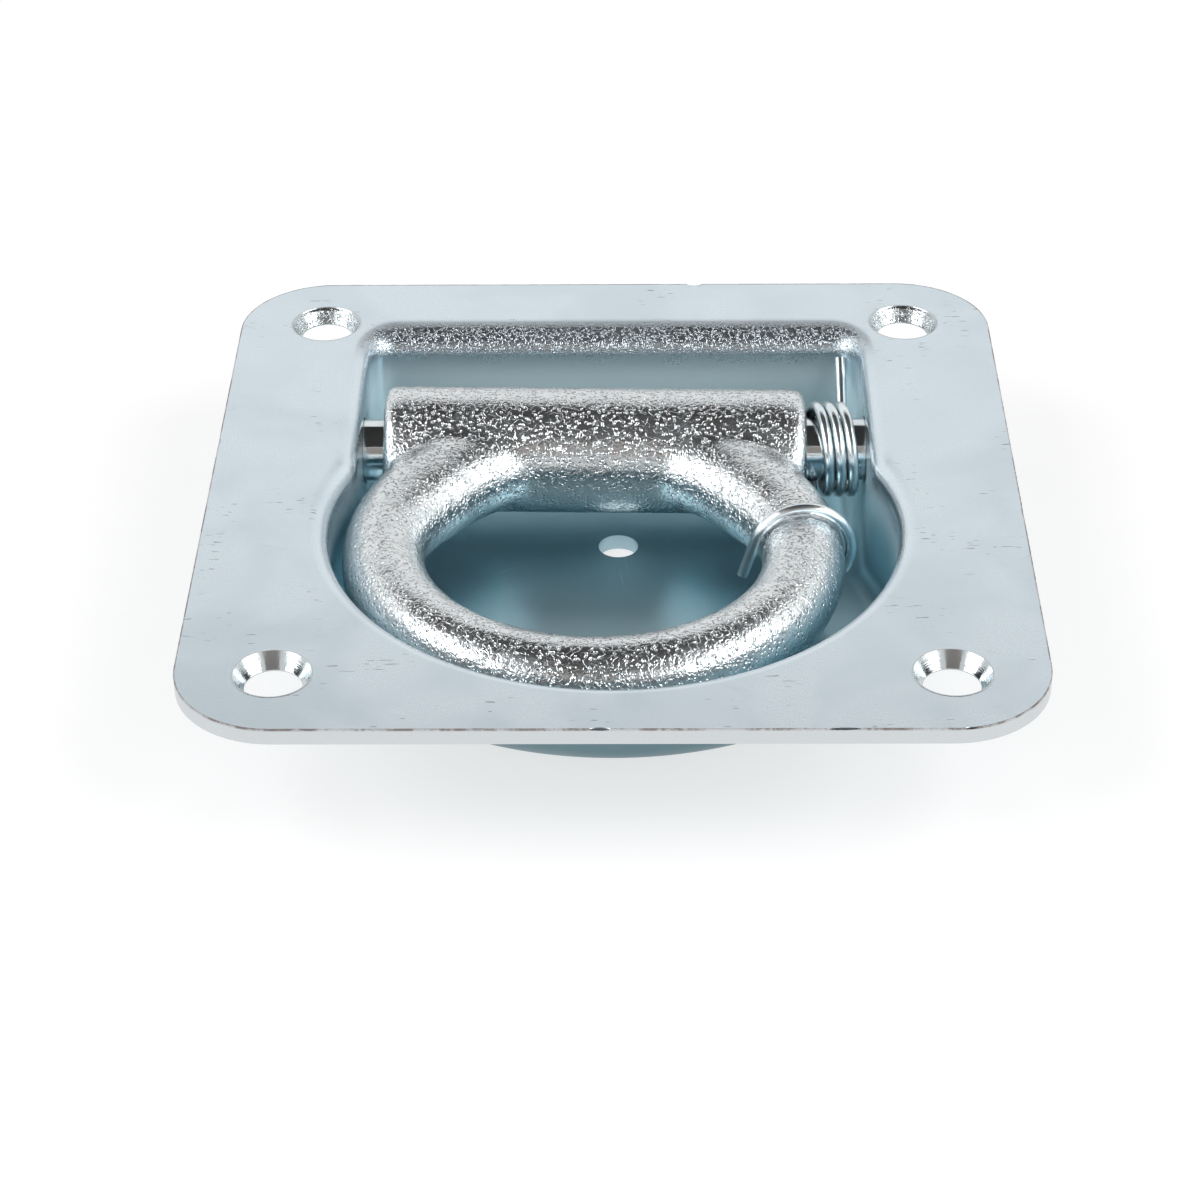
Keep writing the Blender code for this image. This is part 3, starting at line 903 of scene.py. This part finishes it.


# %% [markdown]
# ### The sheet's coat
# The flange is pale zinc. The walls get painted shade in the passivation's blue, darker the deeper they are,
# and lighter towards the bay at the rear, where the wall is more lit. The bottom gets a second, darker
# painted shade.
# Fine scratches are brighter than the coat that they cut.

# %% Sheet: coat
PALER_TO_REAR = (0.006, 0.03)
WALL_SHADE_BAND = {"Top": 0.0241, "Bottom": 0.012}
BOTTOM_SHADE_BAND = {"Top": 0.0085, "Bottom": 0.003}
sheet_finish, tree, shader = start_finish("zinc_sheet")
zinc = place_group(tree, coat, {
    "Bright": (0.685, 0.768, 0.82, 1), "Blue": (0.65, 0.737, 0.795, 1), "Cloud Scale": 60.0,
    "Roughness": 0.31, "Roughness Change": 0.06,
})
place = object_place(tree)
along = part_of(tree, place, "Y")
level = part_of(tree, place, "Z")
# Painted shade on the walls: blue and darker low in the pan, lighter towards the rear bay where the wall is
# more lit.
rear_lit_share = ramp(tree, along, *PALER_TO_REAR)
wall_shade = blend_colours(tree, rear_lit_share, (0.34, 0.62, 0.73, 1), (0.74, 0.92, 0.965, 1))
depth_shaded = place_group(tree, depth, {"Color": zinc.outputs["Color"], "Shade": wall_shade, **WALL_SHADE_BAND})
# A second, darker painted shade on the pan's bottom.
bottom = place_group(tree, depth, {
    "Color": depth_shaded.outputs["Color"], "Shade": (0.40, 0.56, 0.62, 1), **BOTTOM_SHADE_BAND
})
marks = place_group(tree, scratches, {"Direction": 0.35, "Amount": 0.5}).outputs["Mask"]
colour = blend_colours(tree, marks, bottom.outputs["Color"], (0.8, 0.84, 0.87, 1))
print("the sheet's painted shade spans mm:", [round(1000 * side, 1) for side in WALL_SHADE_BAND.values()])

# %% [markdown]
# ### The outside of the pan
# The outside faces away from the pan's middle. Nothing collects on it while it dries, so it keeps a plain,
# even coat. Faces that turn downwards, on the lower bend and the underside, get painted shade.

# %% Sheet: outside
PAN_MIDDLE = (0, -2 * MM, 0)
FLAT = (1, 1, 0)
OUTSIDE = (3 * MM, 12 * MM)
UNDERSIDE_SHADE = (-0.25, -0.55)
normal = node(tree, "ShaderNodeTexCoord").outputs["Normal"]
outwards = vector_node(tree, "MULTIPLY", vector_node(tree, "SUBTRACT", place, PAN_MIDDLE), FLAT)
away = vector_node(tree, "DOT_PRODUCT", normal, outwards, output="Value")
outside = ramp(tree, away, *OUTSIDE)
colour = blend_colours(tree, outside, colour, (0.50, 0.60, 0.655, 1))
# Painted shade on faces that turn downwards.
underside_shade = ramp(tree, part_of(tree, normal, "Z"), *UNDERSIDE_SHADE)
colour = blend_colours(tree, underside_shade, colour, (0.12, 0.23, 0.27, 1))
print("outside faces lie beyond the pan's middle by mm:", [round(1000 * side) for side in OUTSIDE])

# %% [markdown]
# ### Sheared edges
# The flange's edge is sheared, and its coat is thin and greyer there. Handling has broken the coat
# along the upper arris, which leaves it dark in places. The edge is found by its distance from
# the outline, a rectangle with round corners.

# %% Sheet: sheared edges
SHEARED = (PLATE_CORNER - 0.22 * MM, PLATE_CORNER - 0.12 * MM)
UPPER_ARRIS = (TOP - 0.4 * MM, TOP - 0.2 * MM)
folded = vector_node(tree, "ABSOLUTE", place)
inner = (plate_high.x - PLATE_CORNER, plate_high.y - PLATE_CORNER, 1.0)
reach = vector_node(tree, "MAXIMUM", vector_node(tree, "SUBTRACT", folded, inner), (0, 0, 0))
reach = vector_node(tree, "LENGTH", reach, output="Value")
sheared = ramp(tree, reach, *SHEARED)
colour = blend_colours(tree, sheared, colour, (0.60, 0.63, 0.645, 1))
broken = ramp(tree, noise(tree, place, 170.0, 5.0, 0.8), 0.42, 0.58, 0.2, 1.0)
arris = times(tree, sheared, ramp(tree, level, *UPPER_ARRIS))
colour = blend_colours(tree, times(tree, arris, broken), colour, (0.24, 0.21, 0.20, 1))
print("the sheared edge is the outer", round(1000 * (PLATE_CORNER - SHEARED[0]), 2), "mm")

# %% [markdown]
# ### Rubs and the rear rim's painted dark band
# Handling leaves a few short dark rubs on the flange. Bending stretches the sheet most at the rear rim,
# which leaves it rough there. Along the top of the rear rim a dark band of painted reflection darkens the
# colour.

# %% Sheet: rubs and the rear rim's painted dark band
RUB_STRETCH = (420, 2400, 420)
ON_TOP = (TOP - 0.3 * MM, TOP - 0.1 * MM)
REAR, ABOVE_THE_WALL = (0.036, 0.044), (0.0203, 0.0217)
DARK_BAND_LEVELS = (TOP - 0.01 * MM, TOP - 0.15 * MM)
DARK_BAND_SHARE = 0.7
rubs = node(tree, "ShaderNodeMapping", {"Vector": place, "Scale": RUB_STRETCH}).outputs[0]
rubs = ramp(tree, noise(tree, rubs, 1.0, 1.0), 0.68, 0.74)
rubs = times(tree, rubs, ramp(tree, noise(tree, place, 75.0, 1.0), 0.54, 0.62))
rubs = times(tree, rubs, ramp(tree, level, *ON_TOP))
colour = blend_colours(tree, rubs, colour, (0.30, 0.32, 0.34, 1))
at_rear = times(tree, ramp(tree, along, *REAR), ramp(tree, level, *ABOVE_THE_WALL))
# A painted dark reflection along the top of the rear rim.
rear_rim_dark_band = times(tree, at_rear, ramp(tree, level, *DARK_BAND_LEVELS))
colour = blend_colours(tree, times(tree, rear_rim_dark_band, DARK_BAND_SHARE), colour, (0.40, 0.445, 0.475, 1))
print("the rear rim's painted dark band starts at y mm:", 1000 * REAR[0])

# %% [markdown]
# ### Screw seats
# The seats are turned after pressing, so they are glossier than the flange and finely ringed.

# %% Sheet: screw seats
SEAT_EDGE = (5.75 * MM, 5.55 * MM)
RING_HEIGHT = 0.9
from_screw = vector_node(tree, "SUBTRACT", folded, (SCREW_X, SCREW_Y, 0))
from_screw = vector_node(tree, "MULTIPLY", from_screw, FLAT)
from_screw = vector_node(tree, "LENGTH", from_screw, output="Value")
seat = ramp(tree, from_screw, *SEAT_EDGE)
rings = noise(tree, node(tree, "ShaderNodeCombineXYZ", {"X": from_screw}).outputs[0], 6000.0, 1.0)
nibbled = noise(tree, place, 1100.0, 1.0)
rings = times(tree, plus(tree, rings, nibbled), times(tree, seat, RING_HEIGHT))
colour = blend_colours(tree, seat, colour, (0.52, 0.56, 0.575, 1))
tree.links.new(colour, shader.inputs["Base Color"])
print("seats reach", round(1000 * SEAT_EDGE[0], 2), "mm from each screw's axis")

# %% [markdown]
# ### The sheet's gloss
# The thick coat on the walls is duller. The turned seats are glossier, and so is the sheet below
# the flange's face. Inside, the walls are less of a metal than the flange and the floor.

# %% Sheet: gloss
BELOW_THE_FACE = (TOP - 0.7 * MM, TOP - 1.6 * MM)
COATED_UP_TO, COATED_DOWN_TO = (0.016, 0.0225), (0.003, 0.009)
COATED = 0.4
DULLER_WALLS, GLOSSIER_SEATS, GLOSSIER_BELOW = 0.14, 0.12, 0.06
rough = plus(tree, zinc.outputs["Roughness"], times(tree, depth_shaded.outputs["Share"], DULLER_WALLS))
rough = minus(tree, rough, times(tree, seat, GLOSSIER_SEATS))
below_the_face = ramp(tree, level, *BELOW_THE_FACE)
rough = minus(tree, rough, times(tree, below_the_face, GLOSSIER_BELOW))
tree.links.new(rough, shader.inputs["Roughness"])
metal_above = ramp(tree, level, *COATED_UP_TO, COATED, 1.0)
metal_below = ramp(tree, level, *COATED_DOWN_TO, 1.0, COATED)
metal = math_node(tree, "MAXIMUM", math_node(tree, "MAXIMUM", metal_above, metal_below), outside)
tree.links.new(metal, shader.inputs["Metallic"])
print("the walls are metallic by", COATED, "and the rest of the sheet fully")

# %% [markdown]
# ### The sheet's relief
# The satin is a fine grain, and the scratches are cut into it. Shearing draws upright marks down
# the edge. The stretched rim is rough like orange peel, and the seats have their turned rings.

# %% Sheet: relief
STRETCHED = (0.02445, 0.0240)
SHEET_RELIEF = 0.00002
SATIN_HEIGHT, SHEAR_HEIGHT, PEEL_HEIGHT = 0.5, 2.0, 3.2
satin = times(tree, noise(tree, place, 1800.0, 2.0), SATIN_HEIGHT)
shear_marks = node(tree, "ShaderNodeMapping", {"Vector": place, "Scale": (2200, 2200, 260)}).outputs[0]
shear_marks = times(tree, noise(tree, shear_marks, 1.0, 2.0), times(tree, sheared, SHEAR_HEIGHT))
stretched = times(tree, at_rear, ramp(tree, level, *STRETCHED))
peel = place_group(tree, pebbles, {"Scale": 2100.0, "Furrows": 0.5, "Unevenness": 1.0})
peel = times(tree, peel.outputs["Height"], times(tree, stretched, PEEL_HEIGHT))
relief = plus(tree, minus(tree, satin, marks), plus(tree, shear_marks, peel))
bump(tree, shader, plus(tree, relief, rings), SHEET_RELIEF)
dress(pan, sheet_finish)
print("the sheet's finish has", len(tree.nodes), "nodes")

# %% [markdown]
# ### The forging, the pin and the wire
# The forging's skin is pebbled under the zinc, and its lower side is painted a little blue, a painted
# reflection of the pan and painted shade under the bars.
# The pin and the wire are drawn, so they are smooth.

# %% Forging
FORGING_RELIEF = 0.0001
forging_finish, tree, shader = start_finish("zinc_forging")
zinc = place_group(tree, coat, {
    "Bright": (0.74, 0.765, 0.775, 1), "Blue": (0.70, 0.745, 0.765, 1), "Cloud Scale": 240.0,
    "Roughness": 0.25, "Roughness Change": 0.05,
})
# Painted blue on the forging's lower side: a painted reflection of the pan and painted shade under the bars.
depth_shaded = place_group(tree, depth, {
    "Color": zinc.outputs["Color"], "Shade": (0.58, 0.77, 0.83, 1), "Top": 0.0175, "Bottom": 0.0085
})
tree.links.new(depth_shaded.outputs["Color"], shader.inputs["Base Color"])
tree.links.new(zinc.outputs["Roughness"], shader.inputs["Roughness"])
skin = place_group(tree, pebbles, {"Scale": 1450.0, "Furrows": 0.3, "Unevenness": 0.7})
bump(tree, shader, skin.outputs["Height"], FORGING_RELIEF)
dress(ring, forging_finish)

# %% Pin and wire
def smooth_zinc(name, bright, blue, cloud_scale, rough, change):
    """Bare zinc on a drawn bar or wire."""
    finish, tree, shader = start_finish(name)
    zinc = place_group(tree, coat, {
        "Bright": (*bright, 1), "Blue": (*blue, 1), "Cloud Scale": cloud_scale,
        "Roughness": rough, "Roughness Change": change,
    })
    tree.links.new(zinc.outputs["Color"], shader.inputs["Base Color"])
    tree.links.new(zinc.outputs["Roughness"], shader.inputs["Roughness"])
    return finish


pin_finish = smooth_zinc("zinc_pin", (0.74, 0.77, 0.78), (0.62, 0.70, 0.74), 300.0, 0.14, 0.08)
wire_finish = smooth_zinc("spring_wire", (0.82, 0.85, 0.86), (0.70, 0.79, 0.83), 400.0, 0.24, 0.02)
dress(pin, pin_finish)
for piece in (coil, front_leg, rear_leg):
    dress(piece, wire_finish)
print("finishes:", [item.name for item in (sheet_finish, forging_finish, pin_finish, wire_finish)])

# %% [markdown]
# ## Light, floor and background
# The fitting stands on a white floor in a white studio. Metal shows its surroundings, so the world
# is white for reflections too. Two soft boxes stand left and right of the camera and draw the bright
# patches. Between them the camera's side of the room is darker: a nearly black card over the table and
# a warm grey one towards the camera stand for it, and only reflections see them. They draw the dark
# bands that let polished metal be read as round.

# %% World
def seen_directly(tree):
    """One for rays from the camera, off a mirror or through glass, and none for soft light."""
    path = node(tree, "ShaderNodeLightPath").outputs
    seen = math_node(tree, "MAXIMUM", path["Is Camera Ray"], path["Is Glossy Ray"])
    return math_node(tree, "MAXIMUM", seen, path["Is Transmission Ray"])


SOFT_LEVEL = 0.15
world = bpy.data.worlds.new("studio")
bpy.context.scene.world = world
world.use_nodes = True
tree = world.node_tree
back = tree.nodes["Background"]
back.inputs["Color"].default_value = (0.985, 0.985, 0.985, 1)
strength = ramp(tree, seen_directly(tree), 0.0, 1.0, SOFT_LEVEL, 1.0, smooth_step=False)
tree.links.new(strength, back.inputs["Strength"])


def plain_finish(name, colour, glow=0.0):
    finish = bpy.data.materials.new(name)
    finish.use_nodes = True
    shader = finish.node_tree.nodes["Principled BSDF"]
    shader.inputs["Base Color"].default_value = (*colour, 1)
    shader.inputs["Roughness"].default_value = 1.0
    shader.inputs["Specular IOR Level"].default_value = 0.0
    shader.inputs["Emission Color"].default_value = (1, 1, 1, 1)
    if glow:
        tree = finish.node_tree
        strength = times(tree, seen_directly(tree), glow)
        tree.links.new(strength, shader.inputs["Emission Strength"])
    return finish


def stage_plane(name, centre, size, finish, turn=(0, 0, 0)):
    deselect()
    bpy.ops.mesh.primitive_plane_add(size=1, location=centre, rotation=turn)
    item = bpy.context.object
    item.name = name
    item.scale = (size[0], size[1], 1)
    item.data.materials.append(finish)
    item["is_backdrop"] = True
    return item


# %% Floor and cards
FLOOR_GLOW = 0.68
FLOOR_PLACE, FLOOR_SIZE = (0, 0, -0.0002), (6, 6)
OVERHEAD_PLACE, OVERHEAD_SIZE = (0, -0.035, 0.5), (0.8, 0.93)
FRONT_PLACE, FRONT_SIZE = (0, -0.52, 0.34), (0.44, 0.32)
floor_white = plain_finish("floor_white", (0.43, 0.43, 0.43), FLOOR_GLOW)
card_dark = plain_finish("card_dark", (0.10, 0.095, 0.095))
card_warm = plain_finish("card_warm", (0.56, 0.50, 0.47))
stage_plane("floor", FLOOR_PLACE, FLOOR_SIZE, floor_white)
overhead_card = stage_plane("overhead_card", OVERHEAD_PLACE, OVERHEAD_SIZE, card_dark)
front_card = stage_plane("front_card", FRONT_PLACE, FRONT_SIZE, card_warm, (math.pi / 2, 0, 0))
for card in (overhead_card, front_card):
    card.visible_camera = False
    card.visible_diffuse = False
    card.visible_transmission = False
    card.visible_shadow = False

# %% Soft boxes
LAMP_X, LAMP_Y, LAMP_Z = 0.66, -0.27, 0.56
LAMP_AIM = Vector((0, 0, 0.02))
LAMP_SIZE, LAMP_POWER = 0.75, 6.2
for side in (-1, 1):
    deselect()
    bpy.ops.object.light_add(type="AREA", location=(side * LAMP_X, LAMP_Y, LAMP_Z))
    lamp = bpy.context.object
    lamp.name = "soft_box_left" if side < 0 else "soft_box_right"
    lamp.data.shape = "SQUARE"
    lamp.data.size = LAMP_SIZE
    lamp.data.energy = LAMP_POWER
    lamp.rotation_euler = (LAMP_AIM - lamp.location).to_track_quat("-Z", "Y").to_euler()
bpy.context.scene.view_settings.view_transform = "Standard"
print("the world, the floor, two cards and two soft boxes are set")

# %% [markdown]
# ## Camera
# The camera stands in front of the fitting and looks down at it through a long lens. Its place and
# turn were solved from the flange's outline and the four screw holes in the photo.

# %% Camera
def camera_turn(pitch, yaw, roll):
    """The turn of a camera that looks along +Y when all three are zero."""
    pitch, yaw, roll = math.radians(pitch), math.radians(yaw), math.radians(roll)
    level_part = math.cos(pitch)
    ahead = Vector((math.sin(yaw) * level_part, math.cos(yaw) * level_part, -math.sin(pitch)))
    right = Vector((math.cos(yaw), -math.sin(yaw), 0))
    top = right.cross(ahead)
    level = math.cos(roll) * right + math.sin(roll) * top
    upright = -math.sin(roll) * right + math.cos(roll) * top
    return Matrix((level, upright, -ahead)).transposed(), ahead


LOOK_DOWN, LOOK_ASIDE, TILT = 34.53, -0.68, -0.5
DISTANCE, LENS, SENSOR = 450.1 * MM, 95.93, 36
aim = Vector((-1.79 * MM, -30.64 * MM, TOP))
turn, ahead = camera_turn(LOOK_DOWN, LOOK_ASIDE, TILT)
bpy.ops.object.camera_add()
camera = bpy.context.object
camera.name = "camera"
camera.matrix_world = Matrix.Translation(aim - DISTANCE * ahead) @ turn.to_4x4()
camera.data.lens = LENS
camera.data.sensor_width = SENSOR
camera.data.clip_start = 0.05
bpy.context.scene.camera = camera
print("camera at mm:", [round(1000 * place, 1) for place in camera.matrix_world.translation])

# %% [markdown]
# ## The finished model's box
# The box of the finished model is printed.

# %% Finish
visual_low, visual_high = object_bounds()
corners = (visual_low, visual_high)
print("visual box in mm:", [[round(1000 * side, 2) for side in corner] for corner in corners])
